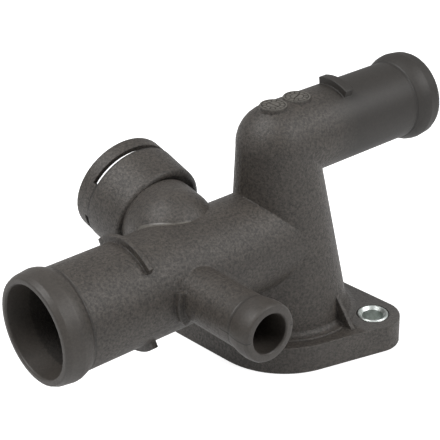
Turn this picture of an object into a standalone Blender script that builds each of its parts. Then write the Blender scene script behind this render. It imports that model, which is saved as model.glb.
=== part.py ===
"""Coolant flange: a moulded three-way hose connector with a sensor socket.

The origin is on the joint face of the bolt flange, on the axis of its port.
+Z points away from the engine block, -X along the large hose spigot, +X along
the medium one. Sizes below are in millimetres and degrees.
"""
import math

import bmesh
import bpy
from mathutils import Matrix, Vector

MM = 0.001

# Clearance between pieces that touch on the real part
FIT = 0.3

# Bolt flange: a round middle with two bolt bosses and straight sides between
FLANGE_THICKNESS = 9.5
FLANGE_RADIUS = 25.4
BOLT_RADIUS = 28.9
BOLT_ANGLE = -50.3
BOSS_RADIUS = 8.7
FLANGE_EDGE = 0.4

# Riser: a cone that stands on the flange, a little off its middle, and leans towards -X
RISER_RADIUS = 19.68
RISER_DRAFT = 6.85
RISER_OFFSET = 2.25
RISER_LEAN = -0.0787
RISER_WALL = 3.2
PORT_RADIUS = 17.2
PORT_DEPTH = 5.0
COLLAR_RADIUS = 22.2
COLLAR_STEP = 0.35
COLLAR_FILLET = 2.1

# Large hose spigot and gallery, along -X
GALLERY_HEIGHT = 38.65
GALLERY_RADIUS = 15.95
GALLERY_BORE = 13.0
GALLERY_LENGTH = 94.1
LARGE_MOUTH_BORE = 14.27
LARGE_MOUTH_DEPTH = 8.0
LARGE_BEAD_LENGTH = 10.0
LARGE_BEAD_CREST = 5.8
LARGE_BEAD_RISE = 1.4
LARGE_LIP_RISE = 0.4

# Medium hose spigot, along +X, with a ball elbow where it meets the riser
MEDIUM_HEIGHT = 69.0
ELBOW_RADIUS = 12.6
MEDIUM_RADIUS = 12.48
MEDIUM_BORE = 10.3
MEDIUM_LENGTH = 55.0
MEDIUM_BEAD_LENGTH = 9.6
MEDIUM_BEAD_CREST = 4.6
MEDIUM_BEAD_RISE = 1.78
MEDIUM_LIP_RISE = 1.05

# Small hose spigot, along -Y from the gallery axis, tipped up a little
SMALL_STATION = -45.9
SMALL_TILT = 1.3
SMALL_RADIUS = 8.23
SMALL_BORE = 6.05
SMALL_LENGTH = 45.4
SMALL_BEAD_LENGTH = 8.2
SMALL_BEAD_CREST = 3.1
SMALL_BEAD_RISE = 0.82
SMALL_LIP_RISE = 0.45

# Sensor socket, along +Y from the gallery axis, tipped up
SENSOR_STATION = -31.9
SENSOR_TILT = 12.9
SENSOR_SWING = 0.6
SENSOR_RADIUS = 17.15
SENSOR_DRAFT = 1.1
SENSOR_LENGTH = 44.4
SENSOR_SEAT_BORE = 14.4
SENSOR_SEAT_DEPTH = 17.5
SENSOR_RIM_BORE = 15.35
SENSOR_NECK_RADIUS = 13.4
SENSOR_NECK_BORE = 10.4
SENSOR_NECK_LENGTH = 23.3
SENSOR_BACK_GAP = 0.5
SENSOR_BACK_SLANT = 3.7
SENSOR_BACK_ROUND = 1.8
SENSOR_VALLEY_RADIUS = 12.6
SENSOR_VALLEY_DEPTH = 1.9
SENSOR_RIM_STEP = 0.15
DOME_RADIUS = 13.7
DOME_SHIFT = -4.6
DOME_REACH = 9.7
DOME_RISE = 7.7
DOME_WALL = 3.0
CLIP_SLOT_WIDTH = 1.95
CLIP_SLOT_REACH = 4.8
CLIP_SLOT_TURN = 10.0
CLIP_BRIDGE_SPAN = 41.0

# Hose-stop ribs: part rings that stop a hose pushed over the spigot
LARGE_STOP_STATION = -62.15
LARGE_STOP_RISE = 2.1
LARGE_STOP_WIDTH = 1.6
LARGE_STOP_TOP_SPAN = 94.0
LARGE_STOP_UNDER_SPAN = 99.0
MEDIUM_STOP_STATION = 18.5
MEDIUM_STOP_RISE = 2.2
MEDIUM_STOP_WIDTH = 3.0
MEDIUM_STOP_TURN = 6.0
MEDIUM_STOP_SPAN = 56.0
SMALL_STOP_REACH = 17.6
SMALL_STOP_RISE = 2.1
SMALL_STOP_WIDTH = 5.0
SMALL_STOP_TURN = 96.0
SMALL_STOP_SPAN = 76.0

# Gusset between riser and flange, square to the hose spigots
GUSSET_STATION = 7.0
GUSSET_HEIGHT = 9.3
GUSSET_REACH = 24.9
GUSSET_THICKNESS = 1.5

# Mould date discs on top of the elbow
DISC_RADIUS = 4.35
DISC_RISE = 0.1
DISC_STATIONS = (-4.6, 4.9)
DISC_ASIDE = -0.1

# Steel compression sleeves in the bolt holes
SLEEVE_RADIUS = 5.0
SLEEVE_BORE = 3.4
SLEEVE_CHAMFER = 0.9
SLEEVE_PROUD = 0.2
SLEEVE_BEAD_RISE = 0.5
SLEEVE_BEAD_LENGTH = 3.0

# Seal ring in the joint face, drawn as it lies when the flange is bolted down
SEAL_RADIUS = 20.4
SEAL_WIDTH = 2.6
SEAL_HEIGHT = 2.2

MOUTH_ROUND = 0.7
MOUTH_CHAMFER = 0.4
OVERRUN = 2.0
BURY = 2.0

FINE = 48
MEDIUM = 40
COARSE = 28

UP = Vector((0, 0, 1))


def clear_scene():
    for item in list(bpy.data.objects):
        bpy.data.objects.remove(item, do_unlink=True)


def material(name, colour, roughness, metallic):
    made = bpy.data.materials.new(name)
    made.use_nodes = True
    shader = made.node_tree.nodes["Principled BSDF"]
    shader.inputs["Base Color"].default_value = (*colour, 1)
    shader.inputs["Roughness"].default_value = roughness
    shader.inputs["Metallic"].default_value = metallic
    made.diffuse_color = (*colour, 1)
    return made


def new_object(name, mesh_data):
    bmesh.ops.remove_doubles(mesh_data, verts=mesh_data.verts, dist=1e-6)
    bmesh.ops.recalc_face_normals(mesh_data, faces=mesh_data.faces)
    mesh = bpy.data.meshes.new(name)
    mesh_data.to_mesh(mesh)
    mesh_data.free()
    thing = bpy.data.objects.new(name, mesh)
    bpy.context.collection.objects.link(thing)
    return thing


def arc(radius, start, end, steps, centre=(0, 0)):
    """Points of a circular arc, in millimetres, angles in degrees."""
    return [(centre[0] + radius * math.cos(math.radians(start + (end - start) * i / steps)),
             centre[1] + radius * math.sin(math.radians(start + (end - start) * i / steps)))
            for i in range(steps + 1)]


def turned(name, profile, segments):
    """Solid of revolution about +Z from (radius, height) points, bottom to top."""
    data = bmesh.new()
    points = [data.verts.new((radius * MM, 0, height * MM)) for radius, height in profile]
    edges = [data.edges.new(pair) for pair in zip(points, points[1:])]
    bmesh.ops.spin(data, geom=points + edges, cent=(0, 0, 0), axis=UP,
                   angle=math.tau, steps=segments, use_merge=True)
    return new_object(name, data)


def extruded(name, outline, bottom, top):
    """Prism along +Z from a closed outline of (x, y) points."""
    data = bmesh.new()
    loop = [data.verts.new((x * MM, y * MM, bottom * MM)) for x, y in outline]
    face = data.faces.new(loop)
    lifted = bmesh.ops.extrude_face_region(data, geom=[face])["geom"]
    corners = [item for item in lifted if isinstance(item, bmesh.types.BMVert)]
    bmesh.ops.translate(data, verts=corners, vec=(0, 0, (top - bottom) * MM))
    return new_object(name, data)


def ring_sector(name, inner, outer, middle, span, bottom, top, rounded=0.0):
    """Part of a ring about +Z, centred on the angle `middle` from +X."""
    half = span / 2
    steps = max(6, int(span / 5))
    ease = math.degrees(rounded / outer)
    outside = arc(outer, middle - half + ease, middle + half - ease, steps)
    inside = arc(inner, middle + half, middle - half, steps)
    return extruded(name, outside + inside, bottom, top)


def place(thing, origin, direction, level=UP):
    """Move a piece made about +Z to `origin`: its +Z along `direction`, its +X towards `level`."""
    along = Vector(direction).normalized()
    upward = (Vector(level) - along * along.dot(level)).normalized()
    frame = Matrix((upward, along.cross(upward), along)).transposed().to_4x4()
    frame.translation = Vector(origin) * MM
    thing.matrix_world = frame
    return thing


def boolean(body, tool, operation):
    step = body.modifiers.new(tool.name, "BOOLEAN")
    step.operation = operation
    step.object = tool
    step.solver = "EXACT"
    tool.hide_render = True
    tool.display_type = "WIRE"


def join(body, *tools):
    for tool in tools:
        boolean(body, tool, "UNION")


def cut(body, *tools):
    for tool in tools:
        boolean(body, tool, "DIFFERENCE")


def finish(thing, look, sharp=32):
    thing.data.materials.append(look)
    thing.data.shade_smooth()
    thing.data.set_sharp_from_angle(angle=math.radians(sharp))
    return thing


def beaded_mouth(length, radius, bead, crest, rise, lip):
    """Outer profile of a hose bead: it starts `bead` from the mouth and is highest `crest` from it."""
    back = [(radius + rise * math.sin(math.radians(a)), length - bead + (bead - crest) * a / 90)
            for a in (0, 30, 60, 90)]
    return (back + [(radius + lip + 0.5 * (rise - lip), length - 0.3 * crest)]
            + arc(MOUTH_ROUND, 10, 90, 3, (radius + lip - MOUTH_ROUND, length - MOUTH_ROUND)))


def mouth_cut(length, radius):
    """Inner profile at a mouth: a small chamfer that runs past the end face."""
    return [(radius, length - MOUTH_CHAMFER),
            (radius + MOUTH_CHAMFER + OVERRUN, length + OVERRUN),
            (0, length + OVERRUN)]


def flange_outline(grow=0.0):
    """Round middle and two bosses, joined by their common tangents."""
    middle = FLANGE_RADIUS + grow
    boss = BOSS_RADIUS + grow
    tangent = math.degrees(math.acos((middle - boss) / BOLT_RADIUS))
    points = []
    for turn in (BOLT_ANGLE, BOLT_ANGLE + 180):
        x = BOLT_RADIUS * math.cos(math.radians(turn))
        y = BOLT_RADIUS * math.sin(math.radians(turn))
        points += arc(boss, turn - tangent, turn + tangent, 18, (x, y))
        points += arc(middle, turn + tangent, turn + 180 - tangent, 24)
    return points


def riser_radius(height):
    """Outer radius of the riser cone at a height above the joint face."""
    return RISER_RADIUS - (height - FLANGE_THICKNESS) * math.tan(math.radians(RISER_DRAFT))


def riser_middle(height):
    """Where the riser's axis is at a height above the joint face."""
    return Vector((RISER_OFFSET + RISER_LEAN * height, 0, height))


def lean(thing):
    thing.data.transform(Matrix.Shear("XY", 4, (RISER_LEAN, 0)))
    thing.location.x = RISER_OFFSET * MM
    return thing


def bolt_axis(turn):
    return (BOLT_RADIUS * math.cos(math.radians(turn)), BOLT_RADIUS * math.sin(math.radians(turn)), 0)


def sleeve_profile(grow=0.0, overrun=0.0):
    """Outer side of a sleeve with its locking bead, bottom to top."""
    middle = FLANGE_THICKNESS / 2
    half = SLEEVE_BEAD_LENGTH / 2 + grow
    outer = SLEEVE_RADIUS + grow
    bead = outer + SLEEVE_BEAD_RISE
    return [(outer, -overrun), (outer, middle - half), (bead, middle - half + SLEEVE_BEAD_RISE),
            (bead, middle + half - SLEEVE_BEAD_RISE), (outer, middle + half)]


def make_sleeve(name, turn, look):
    top = FLANGE_THICKNESS + SLEEVE_PROUD
    edge = SLEEVE_CHAMFER
    profile = ([(SLEEVE_BORE, edge / 2), (SLEEVE_BORE + edge / 2, 0), (SLEEVE_RADIUS - 0.3, 0)]
               + [(SLEEVE_RADIUS, 0.3)] + sleeve_profile()[1:]
               + [(SLEEVE_RADIUS, top - 0.3), (SLEEVE_RADIUS - 0.3, top),
                  (SLEEVE_BORE + edge, top), (SLEEVE_BORE, top - edge), (SLEEVE_BORE, edge / 2)])
    sleeve = turned(name, profile, COARSE)
    sleeve.location = Vector(bolt_axis(turn)) * MM
    return finish(sleeve, look)


def make_seal(look):
    """Rubber ring with rounded corners, level with the joint face."""
    corner = SEAL_HEIGHT / 2 - 0.15
    inner = SEAL_RADIUS - SEAL_WIDTH / 2 + corner
    outer = SEAL_RADIUS + SEAL_WIDTH / 2 - corner
    low, high = corner, SEAL_HEIGHT - corner
    profile = (arc(corner, 180, 270, 2, (inner, low)) + arc(corner, 270, 360, 2, (outer, low))
               + arc(corner, 0, 90, 2, (outer, high)) + arc(corner, 90, 180, 2, (inner, high)))
    return finish(turned("flange_seal", profile + profile[:1], FINE), look, 60)


def make_housing(look):
    gallery = riser_middle(GALLERY_HEIGHT)
    elbow = riser_middle(MEDIUM_HEIGHT)
    small_root = Vector((SMALL_STATION, 0, GALLERY_HEIGHT))
    small_way = (0, -math.cos(math.radians(SMALL_TILT)), math.sin(math.radians(SMALL_TILT)))
    sensor_root = Vector((SENSOR_STATION, 0, GALLERY_HEIGHT))
    tilt, swing = math.radians(SENSOR_TILT), math.radians(SENSOR_SWING)
    sensor_way = (math.cos(tilt) * math.sin(swing), math.cos(tilt) * math.cos(swing), math.sin(tilt))

    housing = extruded("housing", flange_outline(), 0, FLANGE_THICKNESS)
    rounding = housing.modifiers.new("edge", "BEVEL")
    rounding.width = FLANGE_EDGE * MM
    rounding.segments = 2
    rounding.angle_limit = math.radians(60)

    # Riser, with a small collar and a fillet where it stands on the flange
    foot = FLANGE_THICKNESS + COLLAR_STEP
    shoulder = foot + COLLAR_FILLET
    reach = COLLAR_RADIUS - riser_radius(shoulder)
    fillet = [(COLLAR_RADIUS - reach * math.sin(math.radians(a)),
               foot + COLLAR_FILLET * (1 - math.cos(math.radians(a)))) for a in range(0, 91, 18)]
    top = riser_radius(MEDIUM_HEIGHT)
    riser = lean(turned("riser", [(0, FLANGE_THICKNESS - BURY), (COLLAR_RADIUS, FLANGE_THICKNESS - BURY)]
                        + fillet + [(riser_radius(h), h) for h in (20, GALLERY_HEIGHT, MEDIUM_HEIGHT)]
                        + [(0.8 * top, MEDIUM_HEIGHT + 0.4 * top), (0, MEDIUM_HEIGHT + 0.5 * top)], FINE))

    body_length = GALLERY_LENGTH + gallery.x
    body = turned("gallery_outer", [(0, 0), (GALLERY_RADIUS, 0)]
                  + beaded_mouth(body_length, GALLERY_RADIUS, LARGE_BEAD_LENGTH, LARGE_BEAD_CREST,
                                 LARGE_BEAD_RISE, LARGE_LIP_RISE) + [(0, body_length)], FINE)
    place(body, gallery, (-1, 0, 0))

    medium_length = MEDIUM_LENGTH - elbow.x
    medium = turned("elbow_outer", arc(ELBOW_RADIUS, -90, 0, 10)
                    + beaded_mouth(medium_length, MEDIUM_RADIUS, MEDIUM_BEAD_LENGTH, MEDIUM_BEAD_CREST,
                                   MEDIUM_BEAD_RISE, MEDIUM_LIP_RISE) + [(0, medium_length)], MEDIUM)
    place(medium, elbow, (1, 0, 0))

    small = turned("small_outer", [(0, 0), (SMALL_RADIUS, 0)]
                   + beaded_mouth(SMALL_LENGTH, SMALL_RADIUS, SMALL_BEAD_LENGTH, SMALL_BEAD_CREST,
                                  SMALL_BEAD_RISE, SMALL_LIP_RISE) + [(0, SMALL_LENGTH)], MEDIUM)
    place(small, small_root, small_way)

    # Sensor socket: a barrel with a hollowed, slanting back and a rim one step smaller
    slot_top = SENSOR_LENGTH - CLIP_SLOT_REACH
    slot_foot = slot_top - CLIP_SLOT_WIDTH
    back = SENSOR_NECK_LENGTH + SENSOR_BACK_GAP
    back_radius = SENSOR_RADIUS - (slot_foot - back) * math.tan(math.radians(SENSOR_DRAFT))
    valley = SENSOR_NECK_LENGTH + SENSOR_VALLEY_DEPTH
    socket = turned("sensor_outer", [(0, valley), (SENSOR_VALLEY_RADIUS, valley)]
                    + arc(SENSOR_BACK_ROUND, -90, 0, 4, (back_radius - SENSOR_BACK_ROUND,
                                                         back + SENSOR_BACK_ROUND))
                    + [(SENSOR_RADIUS, slot_foot), (SENSOR_RADIUS - SENSOR_RIM_STEP, slot_foot + 0.1)]
                    + arc(MOUTH_ROUND, 0, 90, 3, (SENSOR_RADIUS - SENSOR_RIM_STEP - MOUTH_ROUND,
                                                  SENSOR_LENGTH - MOUTH_ROUND))
                    + [(0, SENSOR_LENGTH)], FINE)
    slant = math.tan(math.radians(SENSOR_BACK_SLANT))
    for corner in socket.data.vertices:
        if corner.co.xy.length > (SENSOR_NECK_RADIUS + 0.1) * MM and corner.co.z < (slot_foot - 0.1) * MM:
            corner.co.z += slant * corner.co.y
    place(socket, sensor_root, sensor_way)

    # Its neck, and the dome that leads from the gallery into it
    neck = turned("sensor_neck", [(0, 0), (SENSOR_NECK_RADIUS, 0),
                                  (SENSOR_NECK_RADIUS, SENSOR_NECK_LENGTH),
                                  (SENSOR_VALLEY_RADIUS, SENSOR_NECK_LENGTH + 0.4),
                                  (SENSOR_VALLEY_RADIUS, valley + BURY / 2), (0, valley + BURY / 2)], FINE)
    place(neck, sensor_root, sensor_way)
    dome_middle = sensor_root + Vector((DOME_SHIFT, DOME_REACH, DOME_RISE))
    dome_end = sensor_root + Vector(sensor_way) * (SENSOR_NECK_LENGTH + BURY)
    dome_length = (dome_end - dome_middle).length
    dome = turned("sensor_dome", arc(DOME_RADIUS, -90, 0, 9)
                  + [(SENSOR_NECK_RADIUS, dome_length), (0, dome_length)], FINE)
    place(dome, dome_middle, dome_end - dome_middle)
    trim = turned("dome_trim", [(0, SENSOR_NECK_LENGTH - 0.1), (2 * DOME_RADIUS, SENSOR_NECK_LENGTH - 0.1),
                                (2 * DOME_RADIUS, SENSOR_LENGTH), (0, SENSOR_LENGTH)], COARSE)
    cut(dome, place(trim, sensor_root, sensor_way))
    join(housing, riser, body, medium, small, neck, dome, socket)

    # Hose-stop ribs
    for name, angle, span in (("stop_top", 0, LARGE_STOP_TOP_SPAN), ("stop_under", 180, LARGE_STOP_UNDER_SPAN)):
        rib = ring_sector(name, GALLERY_RADIUS - BURY, GALLERY_RADIUS + LARGE_STOP_RISE, angle, span,
                          0, LARGE_STOP_WIDTH, rounded=1.2)
        join(housing, place(rib, (LARGE_STOP_STATION, 0, GALLERY_HEIGHT), (1, 0, 0)))
    rib = ring_sector("stop_medium", MEDIUM_RADIUS - BURY / 2, ELBOW_RADIUS + MEDIUM_STOP_RISE,
                      MEDIUM_STOP_TURN, MEDIUM_STOP_SPAN, 0, MEDIUM_STOP_WIDTH, rounded=1.0)
    join(housing, place(rib, (MEDIUM_STOP_STATION, 0, MEDIUM_HEIGHT), (1, 0, 0)))
    rib = ring_sector("stop_small", SMALL_RADIUS - BURY / 2, SMALL_RADIUS + SMALL_STOP_RISE, SMALL_STOP_TURN,
                      SMALL_STOP_SPAN, SMALL_STOP_REACH - SMALL_STOP_WIDTH, SMALL_STOP_REACH, rounded=1.0)
    join(housing, place(rib, small_root, small_way))

    # Gusset: a thin upright triangle, buried in the riser and the flange
    peak = FLANGE_THICKNESS + GUSSET_HEIGHT
    aside = GUSSET_STATION - riser_middle(peak).x
    wall = math.sqrt(riser_radius(peak) ** 2 - aside ** 2)
    side = [(wall - BURY, FLANGE_THICKNESS - BURY), (GUSSET_REACH, FLANGE_THICKNESS - BURY),
            (GUSSET_REACH, FLANGE_THICKNESS + 0.2), (wall, peak), (wall - BURY, peak)]
    gusset = extruded("gusset", side, -GUSSET_THICKNESS / 2, GUSSET_THICKNESS / 2)
    gusset.matrix_world = (Matrix.Translation((GUSSET_STATION * MM, 0, 0))
                           @ Matrix(((0, 0, 1, 0), (-1, 0, 0, 0), (0, 1, 0, 0), (0, 0, 0, 1))))
    join(housing, gusset)

    # Date discs, level with each other: one on the ball of the elbow, one on the tube beside it
    for index, station in enumerate(DISC_STATIONS):
        disc = extruded(f"date_disc_{index + 1}", arc(DISC_RADIUS, 0, 345, 23),
                        ELBOW_RADIUS - BURY, ELBOW_RADIUS + DISC_RISE)
        join(housing, place(disc, (station, DISC_ASIDE, MEDIUM_HEIGHT), UP, (0, 1, 0)))

    # Port, in the middle of the joint face, and riser bore
    port = turned("port", [(0, -OVERRUN), (PORT_RADIUS, -OVERRUN), (PORT_RADIUS, PORT_DEPTH), (0, PORT_DEPTH)],
                  MEDIUM)
    bore_foot, bore_top = PORT_DEPTH - BURY / 2, MEDIUM_HEIGHT - 3
    riser_bore = lean(turned("riser_bore", [(0, bore_foot)]
                             + [(riser_radius(h) - RISER_WALL, h) for h in (bore_foot, GALLERY_HEIGHT, bore_top)]
                             + [(0, bore_top)], MEDIUM))

    gallery_bore = turned("gallery_bore", [(0, 0), (GALLERY_BORE - 0.4, 0),
                                           (GALLERY_BORE, body_length - LARGE_MOUTH_DEPTH)]
                          + mouth_cut(body_length, LARGE_MOUTH_BORE), MEDIUM)
    place(gallery_bore, gallery, (-1, 0, 0))
    medium_bore = turned("medium_bore", arc(MEDIUM_BORE, -90, -8, 6) + [(MEDIUM_BORE, 0)]
                         + mouth_cut(medium_length, MEDIUM_BORE), COARSE)
    place(medium_bore, elbow, (1, 0, 0))
    small_bore = turned("small_bore", [(0, 0), (SMALL_BORE - 0.2, 0)]
                        + mouth_cut(SMALL_LENGTH, SMALL_BORE), COARSE)
    place(small_bore, small_root, small_way)
    seat = SENSOR_LENGTH - SENSOR_SEAT_DEPTH
    rim_foot = slot_top - CLIP_SLOT_WIDTH / 2
    sensor_bore = turned("sensor_bore", [(0, 0), (SENSOR_NECK_BORE, 0), (SENSOR_NECK_BORE, seat),
                                         (SENSOR_SEAT_BORE - 0.5, seat), (SENSOR_SEAT_BORE, seat + 0.5),
                                         (SENSOR_SEAT_BORE, rim_foot), (SENSOR_RIM_BORE, rim_foot),
                                         (SENSOR_RIM_BORE, SENSOR_LENGTH + OVERRUN),
                                         (0, SENSOR_LENGTH + OVERRUN)], MEDIUM)
    place(sensor_bore, sensor_root, sensor_way)
    dome_bore = turned("dome_bore", arc(DOME_RADIUS - DOME_WALL, -90, 0, 6)
                       + [(SENSOR_NECK_BORE - 0.3, dome_length - BURY), (0, dome_length - BURY)], COARSE)
    place(dome_bore, dome_middle, dome_end - dome_middle)
    cut(housing, port, riser_bore, gallery_bore, medium_bore, small_bore, sensor_bore, dome_bore)

    # Two slots for the wire clip that holds the sensor
    slot_span = 180 - CLIP_BRIDGE_SPAN
    for index in (0, 1):
        slot = ring_sector(f"clip_slot_{index + 1}", SENSOR_SEAT_BORE - BURY, SENSOR_RADIUS + BURY,
                           CLIP_SLOT_TURN + 180 * index, slot_span, slot_foot, slot_top)
        cut(housing, place(slot, sensor_root, sensor_way))

    # Seal groove and sleeve pockets
    groove = turned("seal_groove", [(SEAL_RADIUS - SEAL_WIDTH / 2 - FIT, -OVERRUN),
                                    (SEAL_RADIUS + SEAL_WIDTH / 2 + FIT, -OVERRUN),
                                    (SEAL_RADIUS + SEAL_WIDTH / 2 + FIT, SEAL_HEIGHT + FIT),
                                    (SEAL_RADIUS - SEAL_WIDTH / 2 - FIT, SEAL_HEIGHT + FIT),
                                    (SEAL_RADIUS - SEAL_WIDTH / 2 - FIT, -OVERRUN)], FINE)
    cut(housing, groove)
    for index, turn in enumerate((BOLT_ANGLE, BOLT_ANGLE + 180)):
        beyond = FLANGE_THICKNESS + OVERRUN
        pocket = turned(f"sleeve_pocket_{index + 1}", [(0, -OVERRUN)] + sleeve_profile(FIT, OVERRUN)
                        + [(SLEEVE_RADIUS + FIT, beyond), (0, beyond)], COARSE)
        pocket.location = Vector(bolt_axis(turn)) * MM
        cut(housing, pocket)
    return finish(housing, look)


def main():
    clear_scene()
    polyamide = material("black glass-filled polyamide", (0.052, 0.048, 0.045), 0.55, 0.0)
    zinc = material("zinc-plated steel", (0.72, 0.74, 0.76), 0.28, 1.0)
    rubber = material("black sealing rubber", (0.02, 0.02, 0.021), 0.6, 0.0)
    make_housing(polyamide)
    make_sleeve("front_sleeve", BOLT_ANGLE, zinc)
    make_sleeve("rear_sleeve", BOLT_ANGLE + 180, zinc)
    make_seal(rubber)


main()
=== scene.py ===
"""Looks of the coolant flange: materials, small moulded marks, light and camera."""
import math

import bmesh
import bpy
from mathutils import Matrix, Vector


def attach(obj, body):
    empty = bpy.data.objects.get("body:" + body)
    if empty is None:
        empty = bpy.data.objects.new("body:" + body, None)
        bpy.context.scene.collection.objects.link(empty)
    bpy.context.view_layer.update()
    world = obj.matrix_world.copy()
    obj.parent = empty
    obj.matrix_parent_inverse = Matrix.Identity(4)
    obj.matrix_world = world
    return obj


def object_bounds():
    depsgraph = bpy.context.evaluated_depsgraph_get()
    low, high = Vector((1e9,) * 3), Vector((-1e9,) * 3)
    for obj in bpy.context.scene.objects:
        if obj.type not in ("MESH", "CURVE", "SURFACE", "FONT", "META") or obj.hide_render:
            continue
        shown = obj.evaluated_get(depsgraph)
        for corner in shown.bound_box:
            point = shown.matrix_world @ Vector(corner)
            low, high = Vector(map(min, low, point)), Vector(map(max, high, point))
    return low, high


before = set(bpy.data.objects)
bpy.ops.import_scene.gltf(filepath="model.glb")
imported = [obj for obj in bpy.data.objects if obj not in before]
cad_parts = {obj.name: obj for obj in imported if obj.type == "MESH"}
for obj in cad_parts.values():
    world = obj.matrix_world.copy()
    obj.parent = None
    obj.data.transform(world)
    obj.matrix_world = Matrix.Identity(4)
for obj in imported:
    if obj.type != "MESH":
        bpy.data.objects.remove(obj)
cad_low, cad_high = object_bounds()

MM = 0.001

# Places on the housing, in mm, and directions
GALLERY_HEIGHT = 38.65
GALLERY_RADIUS = 15.95
GALLERY_BORE_EDGE = (13.03, 13.12)
SENSOR_WAY = Vector((0.010207, 0.974708, 0.22325))
SENSOR_RIM = Vector((-31.9, 0, GALLERY_HEIGHT)) + 37.7 * SENSOR_WAY
SMALL_WAY = Vector((0, -0.999743, 0.022687))
SMALL_ACROSS = Vector((0, 0.0227, 0.9997))
SMALL_ROOT = Vector((-45.9, 0, GALLERY_HEIGHT))
SMALL_FOOT = Vector((-45.9, -37.2, 39.49))
SMALL_TIP = -33
LARGE_FOOT = Vector((-84.1, 0, GALLERY_HEIGHT))
MEDIUM_FOOT = Vector((45.4, 0, 69.0))
ALONG_GALLERY = Vector((1, 0, 0))

# Where the spigots turn smooth: an axis, the mm where the skin is smooth and where it is rough again,
# and how far the fibres still show on the smooth end. The medium spigot hangs over the flange, so its
# range counts only above the heights in MEDIUM_CLEAR.
LARGE_END = ("X", -90, -80, 0.25)
SMALL_END = ("Y", -39, -31, 0.3)
MEDIUM_END = ("X", 22, 4, 0.1)
MEDIUM_CLEAR = (50, 44)

# The smooth part of the flange's top face: each of its three sides, as an axis and the mm between
# which the smooth skin sets in
TOP_SKIN = (("Z", 9.3, 9.45), ("Z", 10.3, 10.1), ("X", 8.5, 10))
TOP_SKIN_GLOSS = 0.85

# Marks pressed into the skin: a point, the way square to the line, its width, the axis that it stays clear of
# and how far in mm, and its strength. It is pressed in by MARK_DEPTH times its strength, in heights of a
# fleck, and its colour is darkened by its strength as painted shade.
MARKS = (
    (SENSOR_RIM, SENSOR_WAY, 0.9, SENSOR_WAY, 16, 0.6),
    (LARGE_FOOT, ALONG_GALLERY, 1.1, ALONG_GALLERY, 14.5, 0.4),
    (MEDIUM_FOOT, ALONG_GALLERY, 0.9, ALONG_GALLERY, 11.4, 0.25),
    (SMALL_FOOT, SMALL_WAY, 1.2, SMALL_WAY, 7.2, 0.35),
)
PARTING_STRENGTH = 0.5
MARK_DEPTH = 5

# Date inserts on the elbow, in mm and degrees
DISC_FACE = 81.7
DISC_EDGE = 4.2
RIM_INSIDE = 3.7
PAD_RING = (2.15, 3.4)
PADS = 12
PAD_GAP = 6
HUB_RADIUS = 1.9
HUB_SLOT = 12
PAD_HEIGHT = 0.22
# The recess is a thin near-black sheet of painted shade at the insert's face
RECESS_SUNK = 0.1
RECESS_HEIGHT = 0.13
RECESS_MARGIN = 0.05

# Fillet between the sensor socket's dome and the gallery, in mm. Its face stands a little proud of
# both, and its back is sunk into the housing.
DOME = Vector((-36.5, 9.7, 46.35))
DOME_RADIUS = 13.7
FILLET_RADIUS = 1.5
FILLET_START = -50.3
FILLET_END = -38
FILLET_SHRINK = 0.6
FILLET_STEPS = 30
FILLET_ACROSS = 6
FILLET_PROUD = 0.02
FILLET_SUNK = 0.3

# Light: strengths, where 1 is white, the gap under the part in mm, and the lamps in metres
WORLD_LIGHT = 0.03
REFLECTED_WHITE = 0.47
FLOOR_GLOW = 0.9
FLOOR_GAP = 0.2
LAMP_DISTANCE = 1.1
LAMP_SIZE = 0.5

# Camera: its place in mm, its direction and its roll in degrees, as fitted to the photograph
CAMERA_PLACE = (-270.876, -299.441, 255.836)
CAMERA_WAY = (0.55907, 0.68357, -0.46923)
CAMERA_ROLL = 1.08
FOCAL_PIXELS = 1453.746
PICTURE_PIXELS = 440


# Materials

def linear(code):
    """Scene colour of an sRGB hex code such as "#5a5651"."""
    channels = [int(code[i:i + 2], 16) / 255 for i in (1, 3, 5)]
    return tuple(c / 12.92 if c <= 0.04045 else ((c + 0.055) / 1.055) ** 2.4 for c in channels) + (1,)


def add(tree, kind, inputs=None, **settings):
    """Adds a node: its settings, and for each input a value or the output that feeds it."""
    node = tree.nodes.new(kind)
    for name, value in settings.items():
        setattr(node, name, value)
    for name, value in (inputs or {}).items():
        if isinstance(value, bpy.types.NodeSocket):
            tree.links.new(value, node.inputs[name])
        else:
            node.inputs[name].default_value = value
    return node


def new_material(name):
    """A plain material: it, its tree and its shader."""
    made = bpy.data.materials.new(name)
    made.use_nodes = True
    return made, made.node_tree, made.node_tree.nodes["Principled BSDF"]


def colour_ramp(node, *stops):
    """Sets a ramp's two stops from (position, hex code) pairs, lower first."""
    for element, (position, code) in zip(node.color_ramp.elements, stops):
        element.position = position
        element.color = linear(code)


def clouded(name, size, detail, *stops):
    """A material whose colour follows a noise of `size` mm: it, its tree, its shader and the noise."""
    made, tree, shader = new_material(name)
    place = add(tree, "ShaderNodeTexCoord").outputs["Object"]
    cloud = add(tree, "ShaderNodeTexNoise", {
        "Vector": place, "Scale": 1 / (size * MM), "Detail": detail}).outputs["Fac"]
    tone = add(tree, "ShaderNodeValToRGB", {"Fac": cloud})
    colour_ramp(tone, *stops)
    tree.links.new(tone.outputs["Color"], shader.inputs["Base Color"])
    return made, tree, shader, cloud


def fibre_bloom(tree, axis):
    """How far glass fibres show at the skin: fully on the body, hardly on the polished spigot ends."""
    large, small, medium = [
        add(tree, "ShaderNodeMapRange", {
            "Value": axis.outputs[letter], "From Min": start * MM, "From Max": end * MM, "To Min": least},
            interpolation_type="SMOOTHSTEP").outputs[0]
        for letter, start, end, least in (LARGE_END, SMALL_END, MEDIUM_END)]
    start, end = MEDIUM_CLEAR
    below = add(tree, "ShaderNodeMapRange", {
        "Value": axis.outputs["Z"], "From Min": start * MM, "From Max": end * MM}).outputs[0]
    upper = add(tree, "ShaderNodeMath", {0: medium, 1: below}, operation="MAXIMUM").outputs[0]
    ends = add(tree, "ShaderNodeMath", {0: large, 1: small}, operation="MINIMUM").outputs[0]
    return add(tree, "ShaderNodeMath", {0: ends, 1: upper}, operation="MINIMUM").outputs[0]


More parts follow.
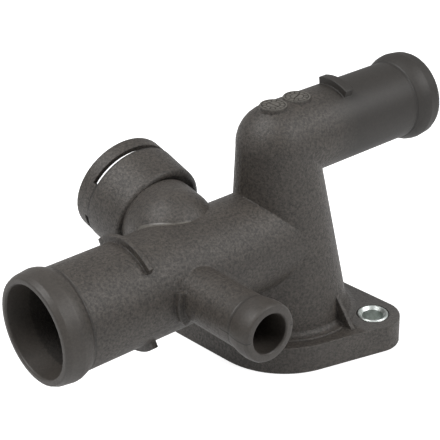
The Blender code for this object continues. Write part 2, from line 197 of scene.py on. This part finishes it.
def seam(tree, place, point, across, width, way, clear):
    """1 on a line of `width` in the plane through `point` square to `across`, where it is `clear` mm or
    more from the axis that runs through `point` along `way`."""
    off = add(tree, "ShaderNodeVectorMath", {0: place, 1: point * MM}, operation="SUBTRACT").outputs[0]
    along = add(tree, "ShaderNodeVectorMath", {0: off, 1: across}, operation="DOT_PRODUCT")
    away = add(tree, "ShaderNodeMath", {0: along.outputs["Value"]}, operation="ABSOLUTE")
    line = add(tree, "ShaderNodeMapRange", {
        "Value": away.outputs[0], "From Min": 0.3 * width * MM, "From Max": 0.6 * width * MM,
        "To Min": 1.0, "To Max": 0.0})
    aside = add(tree, "ShaderNodeVectorMath", {0: off, 1: way}, operation="CROSS_PRODUCT")
    reach = add(tree, "ShaderNodeVectorMath", {0: aside.outputs[0]}, operation="LENGTH")
    outside = add(tree, "ShaderNodeMath", {0: reach.outputs["Value"], 1: clear * MM},
                  operation="GREATER_THAN")
    return add(tree, "ShaderNodeMath", {0: line.outputs[0], 1: outside.outputs[0]},
               operation="MULTIPLY").outputs[0]


def painted_bore_shade(tree, place):
    """Painted shade: scale of the colour, half inside the gallery's bore, which lies in shade and looks
    nearly black beyond the mouth's taper.
    """
    off = add(tree, "ShaderNodeVectorMath", {0: place, 1: (0, 0, GALLERY_HEIGHT * MM)},
              operation="SUBTRACT")
    turned = add(tree, "ShaderNodeVectorMath", {0: off.outputs[0], 1: (0, 1, 1)}, operation="MULTIPLY")
    radius = add(tree, "ShaderNodeVectorMath", {0: turned.outputs[0]}, operation="LENGTH")
    start, end = GALLERY_BORE_EDGE
    return add(tree, "ShaderNodeMapRange", {
        "Value": radius.outputs["Value"], "From Min": start * MM, "From Max": end * MM,
        "To Min": 0.5, "To Max": 1.0}).outputs[0]


def glass_fibre_polyamide():
    """Moulded black polyamide with glass fibre: fibres near the skin make it grey, speckled, half matt."""
    made, tree, shader = new_material("moulded glass-fibre polyamide")
    place = add(tree, "ShaderNodeTexCoord").outputs["Object"]
    axis = add(tree, "ShaderNodeSeparateXYZ", {0: place})

    # Fibres are hundredths of a millimetre thick; drawn as 0.4 mm flecks, so that they show
    fleck = add(tree, "ShaderNodeTexNoise", {
        "Vector": place, "Scale": 1 / (0.8 * MM), "Detail": 3.5, "Roughness": 0.75})
    grain = add(tree, "ShaderNodeMapRange", {
        "Value": fleck.outputs["Fac"], "From Min": 0.36, "From Max": 0.64})
    # Of the smooth ends, the elbow's spigot is the darkest
    skin = add(tree, "ShaderNodeMapRange", {
        "Value": axis.outputs["X"], "From Min": -10 * MM, "From Max": 20 * MM, "To Min": 0.42, "To Max": 0.0})
    shown = add(tree, "ShaderNodeMix", {
        "Factor": fibre_bloom(tree, axis), "A": skin.outputs["Result"],
        "B": grain.outputs["Result"]}).outputs["Result"]
    tone = add(tree, "ShaderNodeValToRGB", {"Fac": shown})
    colour_ramp(tone, (0.0, "#2b2825"), (1.0, "#56504a"))
    # The melt's flow leaves faint clouds about 9 mm across
    cloud = add(tree, "ShaderNodeTexNoise", {"Vector": place, "Scale": 1 / (9 * MM), "Detail": 2.0})
    patch = add(tree, "ShaderNodeMapRange", {
        "Value": cloud.outputs["Fac"], "From Min": 0.35, "From Max": 0.65, "To Min": 0.92, "To Max": 1.08})

    # Painted shade darkens the colour along the small spigot's parting line, under the sensor socket's rim
    # and at the foot of each hose bead, where the same lines are pressed in as grooves
    parting = seam(tree, place, SMALL_ROOT, SMALL_ACROSS, 0.5, SMALL_WAY, 7.2)
    tip = add(tree, "ShaderNodeMath", {0: axis.outputs["Y"], 1: SMALL_TIP * MM}, operation="LESS_THAN")
    parting = add(tree, "ShaderNodeMath", {0: parting, 1: tip.outputs[0]}, operation="MULTIPLY").outputs[0]
    lines = [(parting, PARTING_STRENGTH)]
    lines += [(seam(tree, place, *mark), strength) for *mark, strength in MARKS]
    cloud_and_painted_shade, relief = patch.outputs["Result"], shown
    for line, strength in lines:
        cloud_and_painted_shade = add(tree, "ShaderNodeMath", {0: line, 1: -strength, 2: cloud_and_painted_shade},
                    operation="MULTIPLY_ADD").outputs[0]
        relief = add(tree, "ShaderNodeMath", {0: line, 1: -MARK_DEPTH * strength, 2: relief},
                     operation="MULTIPLY_ADD").outputs[0]
    # Painted shade: the colour is halved inside the gallery's bore
    cloud_and_painted_shade = add(tree, "ShaderNodeMath", {0: cloud_and_painted_shade, 1: painted_bore_shade(tree, place)},
                operation="MULTIPLY").outputs[0]
    colour = add(tree, "ShaderNodeVectorMath", {0: tone.outputs["Color"], "Scale": cloud_and_painted_shade},
                 operation="SCALE")
    tree.links.new(colour.outputs[0], shader.inputs["Base Color"])

    matt = add(tree, "ShaderNodeMapRange", {"Value": shown, "To Min": 0.56, "To Max": 0.42})
    tree.links.new(matt.outputs["Result"], shader.inputs["Roughness"])
    shader.inputs["IOR"].default_value = 1.53

    # The flange's top face has a smoother, resin-rich skin on the front bolt's side of the gusset
    gloss = TOP_SKIN_GLOSS
    for letter, start, end in TOP_SKIN:
        side = add(tree, "ShaderNodeMapRange", {
            "Value": axis.outputs[letter], "From Min": start * MM, "From Max": end * MM})
        gloss = add(tree, "ShaderNodeMath", {0: side.outputs[0], 1: gloss}, operation="MULTIPLY").outputs[0]
    tree.links.new(gloss, shader.inputs["Coat Weight"])
    shader.inputs["Coat Roughness"].default_value = 0.3

    edge = add(tree, "ShaderNodeBevel", {"Radius": 0.6 * MM}, samples=8)
    face = add(tree, "ShaderNodeBump", {
        "Strength": 0.55, "Distance": 0.12 * MM, "Height": relief, "Normal": edge.outputs[0]})
    tree.links.new(face.outputs[0], shader.inputs["Normal"])
    return made


def highlit_smooth_polyamide():
    """The same polyamide, smoothed by a mould insert or a shut-off edge, with a soft shine; its paler colour
    is a painted highlight.
    """
    made, tree, shader, grain = clouded(
        "smooth polyamide with a painted highlight", 0.8, 3.0, (0.25, "#494540"), (0.75, "#716d66"))
    shine = add(tree, "ShaderNodeMapRange", {"Value": grain, "To Min": 0.34, "To Max": 0.48})
    tree.links.new(shine.outputs["Result"], shader.inputs["Roughness"])
    shader.inputs["IOR"].default_value = 1.53
    relief = add(tree, "ShaderNodeBump", {"Strength": 0.25, "Distance": 0.08 * MM, "Height": grain})
    tree.links.new(relief.outputs[0], shader.inputs["Normal"])
    return made


def recess_shade_polyamide():
    """Painted shade in a date insert's recess, round its pads and hub: polyamide made near black, with a
    faint cloudiness.
    """
    made, tree, shader, cloud = clouded(
        "polyamide painted with a recess's shade", 1.2, 2.0, (0.3, "#1d1b18"), (0.7, "#302d29"))
    shader.inputs["Roughness"].default_value = 0.6
    shader.inputs["IOR"].default_value = 1.53
    relief = add(tree, "ShaderNodeBump", {"Strength": 0.2, "Distance": 0.05 * MM, "Height": cloud})
    tree.links.new(relief.outputs[0], shader.inputs["Normal"])
    return made


def zinc_plated_steel():
    """Drawn steel tube with bright zinc plate: pale, slightly green, softly clouded."""
    made, tree, shader, cloud = clouded(
        "bright zinc-plated steel", 1.5, 3.0, (0.3, "#b4bab4"), (0.7, "#dde2e0"))
    shine = add(tree, "ShaderNodeMapRange", {"Value": cloud, "To Min": 0.32, "To Max": 0.5})
    tree.links.new(shine.outputs["Result"], shader.inputs["Roughness"])
    shader.inputs["Metallic"].default_value = 1.0
    return made


def seal_rubber():
    """Moulded nitrile rubber: near black, with a soft satin sheen."""
    made, tree, shader, grain = clouded(
        "moulded nitrile rubber", 0.4, 2.0, (0.0, "#1b1b1c"), (1.0, "#2b2b2c"))
    shader.inputs["Roughness"].default_value = 0.55
    relief = add(tree, "ShaderNodeBump", {"Strength": 0.2, "Distance": 0.05 * MM, "Height": grain})
    tree.links.new(relief.outputs[0], shader.inputs["Normal"])
    return made


def soft_shading(sharp):
    """Nodes that join a CAD mesh's triangles and shade them round, but for edges over `sharp` degrees."""
    tree = bpy.data.node_groups.new("round shading", "GeometryNodeTree")
    for way in ("INPUT", "OUTPUT"):
        tree.interface.new_socket("Geometry", in_out=way, socket_type="NodeSocketGeometry")
    joined = add(tree, "GeometryNodeMergeByDistance", {
        "Geometry": add(tree, "NodeGroupInput").outputs[0], "Distance": 0.001 * MM})
    corner = add(tree, "FunctionNodeCompare", {
        "A": add(tree, "GeometryNodeInputMeshEdgeAngle").outputs["Unsigned Angle"],
        "B": math.radians(sharp)}, operation="GREATER_THAN")
    shaded = add(tree, "GeometryNodeSetMeshNormal", {
        "Mesh": joined.outputs[0], "Remove Custom": True, "Edge Sharpness": corner.outputs[0],
        "Face Sharpness": False})
    add(tree, "NodeGroupOutput", {0: shaded.outputs[0]})
    return tree


def dress(name, look, shading):
    """Gives a CAD node its finish and its round shading."""
    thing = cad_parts[name]
    thing.data.materials.clear()
    thing.data.materials.append(look)
    thing.modifiers.new("round shading", "NODES").node_group = shading


steel = zinc_plated_steel()
turned_round = soft_shading(35)
dress("housing", glass_fibre_polyamide(), soft_shading(14))
dress("front_sleeve", steel, turned_round)
dress("rear_sleeve", steel, turned_round)
dress("flange_seal", seal_rubber(), turned_round)


# Small moulded marks

def piece(name, shapes, looks):
    """One closed-mesh piece on the housing, from (bmesh, index of its material) pairs."""
    whole = bmesh.new()
    for shape, index in shapes:
        for face in shape.faces:
            face.material_index = index
        part = bpy.data.meshes.new("part")
        shape.to_mesh(part)
        shape.free()
        whole.from_mesh(part)
        bpy.data.meshes.remove(part)
    bmesh.ops.recalc_face_normals(whole, faces=whole.faces)
    mesh = bpy.data.meshes.new(name)
    whole.to_mesh(mesh)
    whole.free()
    for look in looks:
        mesh.materials.append(look)
    thing = bpy.data.objects.new(name, mesh)
    bpy.context.collection.objects.link(thing)
    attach(thing, "root")
    return thing


def raised(outline, centre, foot, height):
    """Closed prism over a flat outline of (x, y) in mm about `centre`, from `foot` up by `height`."""
    shape = bmesh.new()
    low, high = [[shape.verts.new(Vector((x + centre[0], y + centre[1], level)) * MM) for x, y in outline]
                 for level in (foot, foot + height)]
    shape.faces.new(low)
    shape.faces.new(high)
    for i in range(len(low)):
        shape.faces.new((low[i - 1], low[i], high[i], high[i - 1]))
    return shape


def arc(radius, start, end, steps):
    """Points (x, y) in mm on an arc between two angles in degrees."""
    angles = [math.radians(start + (end - start) * i / steps) for i in range(steps + 1)]
    return [(radius * math.cos(a), radius * math.sin(a)) for a in angles]


def sector(inner, outer, start, end, steps):
    """Outline of a piece of ring between two radii in mm and two angles in degrees."""
    return arc(outer, start, end, steps) + arc(inner, start, end, steps)[::-1]


def date_insert(name, centre, turn):
    """Face of a mould's date insert, without its figures: a rim, twelve pads and a slotted hub."""
    pitch = 360 / PADS
    outlines = [sector(RIM_INSIDE, DISC_EDGE, 180 * i, 180 * i + 180, 18) for i in range(2)]
    outlines += [sector(*PAD_RING, pitch * i + PAD_GAP / 2, pitch * (i + 1) - PAD_GAP / 2, 3)
                 for i in range(PADS)]
    outlines += [arc(HUB_RADIUS, turn + 180 * i + HUB_SLOT / 2, turn + 180 * (i + 1) - HUB_SLOT / 2, 12)
                 for i in range(2)]
    # Rim, pads and hub are paler, a painted highlight on their smooth faces
    shapes = [(raised(outline, centre, DISC_FACE, PAD_HEIGHT), 0) for outline in outlines]
    # A thin near-black sheet at the insert's face, between its pads, is painted shade in its recess
    recess = arc(DISC_EDGE - RECESS_MARGIN, 0, 350, 35)
    shapes.append((raised(recess, centre, DISC_FACE - RECESS_SUNK, RECESS_HEIGHT), 1))
    return piece(name, shapes, (painted_highlight, painted_recess_shade))


def ball_centre(x, ball):
    """Centre of a ball at x that rests in the corner between the gallery and the dome."""
    reach = GALLERY_RADIUS + ball
    left = math.sqrt((DOME_RADIUS + ball) ** 2 - (x - DOME.x) ** 2)
    aside, above = DOME.y, DOME.z - GALLERY_HEIGHT
    far = math.hypot(aside, above)
    along = (reach ** 2 - left ** 2 + far ** 2) / (2 * far)
    off = math.sqrt(reach ** 2 - along ** 2)
    return Vector((x, (aside * along - above * off) / far,
                   GALLERY_HEIGHT + (above * along + aside * off) / far))


def socket_fillet():
    """Small fillet where the sensor socket's dome meets the gallery: a ball rolled along both of them.
    The ball shrinks on the way, so that the fillet runs out."""
    rings = []
    shape = bmesh.new()
    for i in range(FILLET_STEPS + 1):
        x = FILLET_START + (FILLET_END - FILLET_START) * i / FILLET_STEPS
        ball = FILLET_RADIUS * (1 - FILLET_SHRINK * i / FILLET_STEPS)
        centre = ball_centre(x, ball)
        low = (Vector((x, 0, GALLERY_HEIGHT)) - centre).normalized()
        high = (DOME - centre).normalized()
        ring = [centre + low.slerp(high, k / FILLET_ACROSS) * (ball + FILLET_PROUD)
                for k in range(FILLET_ACROSS + 1)]
        corner = ball / math.cos(low.angle(high) / 2) + FILLET_SUNK
        ring.append(centre + (low + high).normalized() * corner)
        rings.append([shape.verts.new(point * MM) for point in ring])
    for one, two in zip(rings, rings[1:]):
        for k in range(len(one)):
            n = (k + 1) % len(one)
            shape.faces.new((one[k], one[n], two[n], two[k]))
    shape.faces.new(rings[0])
    shape.faces.new(rings[-1])
    # The fillet's paler colour is a painted highlight along the crease
    strip = piece("socket_fillet", [(shape, 0)], (painted_highlight,))
    for face in strip.data.polygons:
        face.use_smooth = True
    strip.data.set_sharp_from_angle(angle=math.radians(40))


painted_highlight = highlit_smooth_polyamide()
painted_recess_shade = recess_shade_polyamide()
date_insert("left_date_insert", (-4.6, -0.1), 95)
date_insert("right_date_insert", (4.9, -0.1), 20)
socket_fillet()


# Floor, light and camera

def seen_white(tree):
    """How bright the studio's white is: full to the camera and through clear parts, half in a reflection,
    because its sheets fill about half of what surrounds the part. Passed-on light gets none of it."""
    ray = add(tree, "ShaderNodeLightPath")
    reflected = add(tree, "ShaderNodeMath", {0: ray.outputs["Is Glossy Ray"], 1: REFLECTED_WHITE},
                    operation="MULTIPLY")
    seen = add(tree, "ShaderNodeMath", {0: ray.outputs["Is Camera Ray"], 1: reflected.outputs[0]},
               operation="MAXIMUM")
    return add(tree, "ShaderNodeMath", {0: seen.outputs[0], 1: ray.outputs["Is Transmission Ray"]},
               operation="MAXIMUM").outputs[0]


def make_floor():
    """White sheet under the part: it glows a little where it is looked at, so only a faint shadow shows."""
    data = bmesh.new()
    bmesh.ops.create_grid(data, x_segments=1, y_segments=1, size=3)
    mesh = bpy.data.meshes.new("floor")
    data.to_mesh(mesh)
    data.free()
    floor = bpy.data.objects.new("floor", mesh)
    bpy.context.collection.objects.link(floor)
    floor.location.z = cad_low.z - FLOOR_GAP * MM
    made, tree, shader = new_material("white paper")
    shader.inputs["Base Color"].default_value = linear("#e6e6e6")
    shader.inputs["Roughness"].default_value = 1.0
    shader.inputs["Specular IOR Level"].default_value = 0.0
    glow = add(tree, "ShaderNodeMath", {0: seen_white(tree), 1: FLOOR_GLOW}, operation="MULTIPLY")
    shader.inputs["Emission Color"].default_value = (1, 1, 1, 1)
    tree.links.new(glow.outputs[0], shader.inputs["Emission Strength"])
    mesh.materials.append(made)


def make_world():
    """White all round where it is seen, and hardly any light from it."""
    world = bpy.data.worlds.new("white studio")
    bpy.context.scene.world = world
    world.use_nodes = True
    tree = world.node_tree
    level = add(tree, "ShaderNodeMapRange", {
        "Value": seen_white(tree), "To Min": WORLD_LIGHT, "To Max": 1.0})
    back = tree.nodes["Background"]
    back.inputs["Color"].default_value = (1, 1, 1, 1)
    tree.links.new(level.outputs["Result"], back.inputs["Strength"])


def soft_box(name, way, power):
    """Square soft light that faces the middle of the part from the direction `way`."""
    lamp = bpy.data.lights.new(name, "AREA")
    lamp.size = LAMP_SIZE
    lamp.energy = power
    box = bpy.data.objects.new(name, lamp)
    bpy.context.collection.objects.link(box)
    middle = (cad_low + cad_high) / 2
    box.location = middle + Vector(way).normalized() * LAMP_DISTANCE
    box.rotation_euler = (middle - box.location).to_track_quat("-Z", "Y").to_euler()


def make_camera():
    """Camera at the photograph's angle: 28 degrees above the part, between its front and its large mouth."""
    forward = Vector(CAMERA_WAY)
    lens = bpy.data.cameras.new("camera")
    lens.sensor_width = 36
    lens.lens = lens.sensor_width * FOCAL_PIXELS / PICTURE_PIXELS
    lens.clip_start = 0.01
    lens.clip_end = 20
    view = bpy.data.objects.new("camera", lens)
    bpy.context.collection.objects.link(view)
    across = forward.cross(Vector((0, 0, 1))).normalized()
    across = Matrix.Rotation(math.radians(CAMERA_ROLL), 3, forward) @ across
    above = across.cross(forward)
    turn = Matrix((across, above, -forward)).transposed()
    view.matrix_world = Matrix.Translation(Vector(CAMERA_PLACE) * MM) @ turn.to_4x4()
    bpy.context.scene.camera = view


make_floor()
make_world()
soft_box("key", (-0.50, 0.20, 0.85), 8.4)
soft_box("right fill", (0.41, -0.59, 0.69), 5.6)
soft_box("low fill", (0.18, -0.89, 0.42), 0.9)
make_camera()
bpy.context.scene.view_settings.view_transform = "Standard"
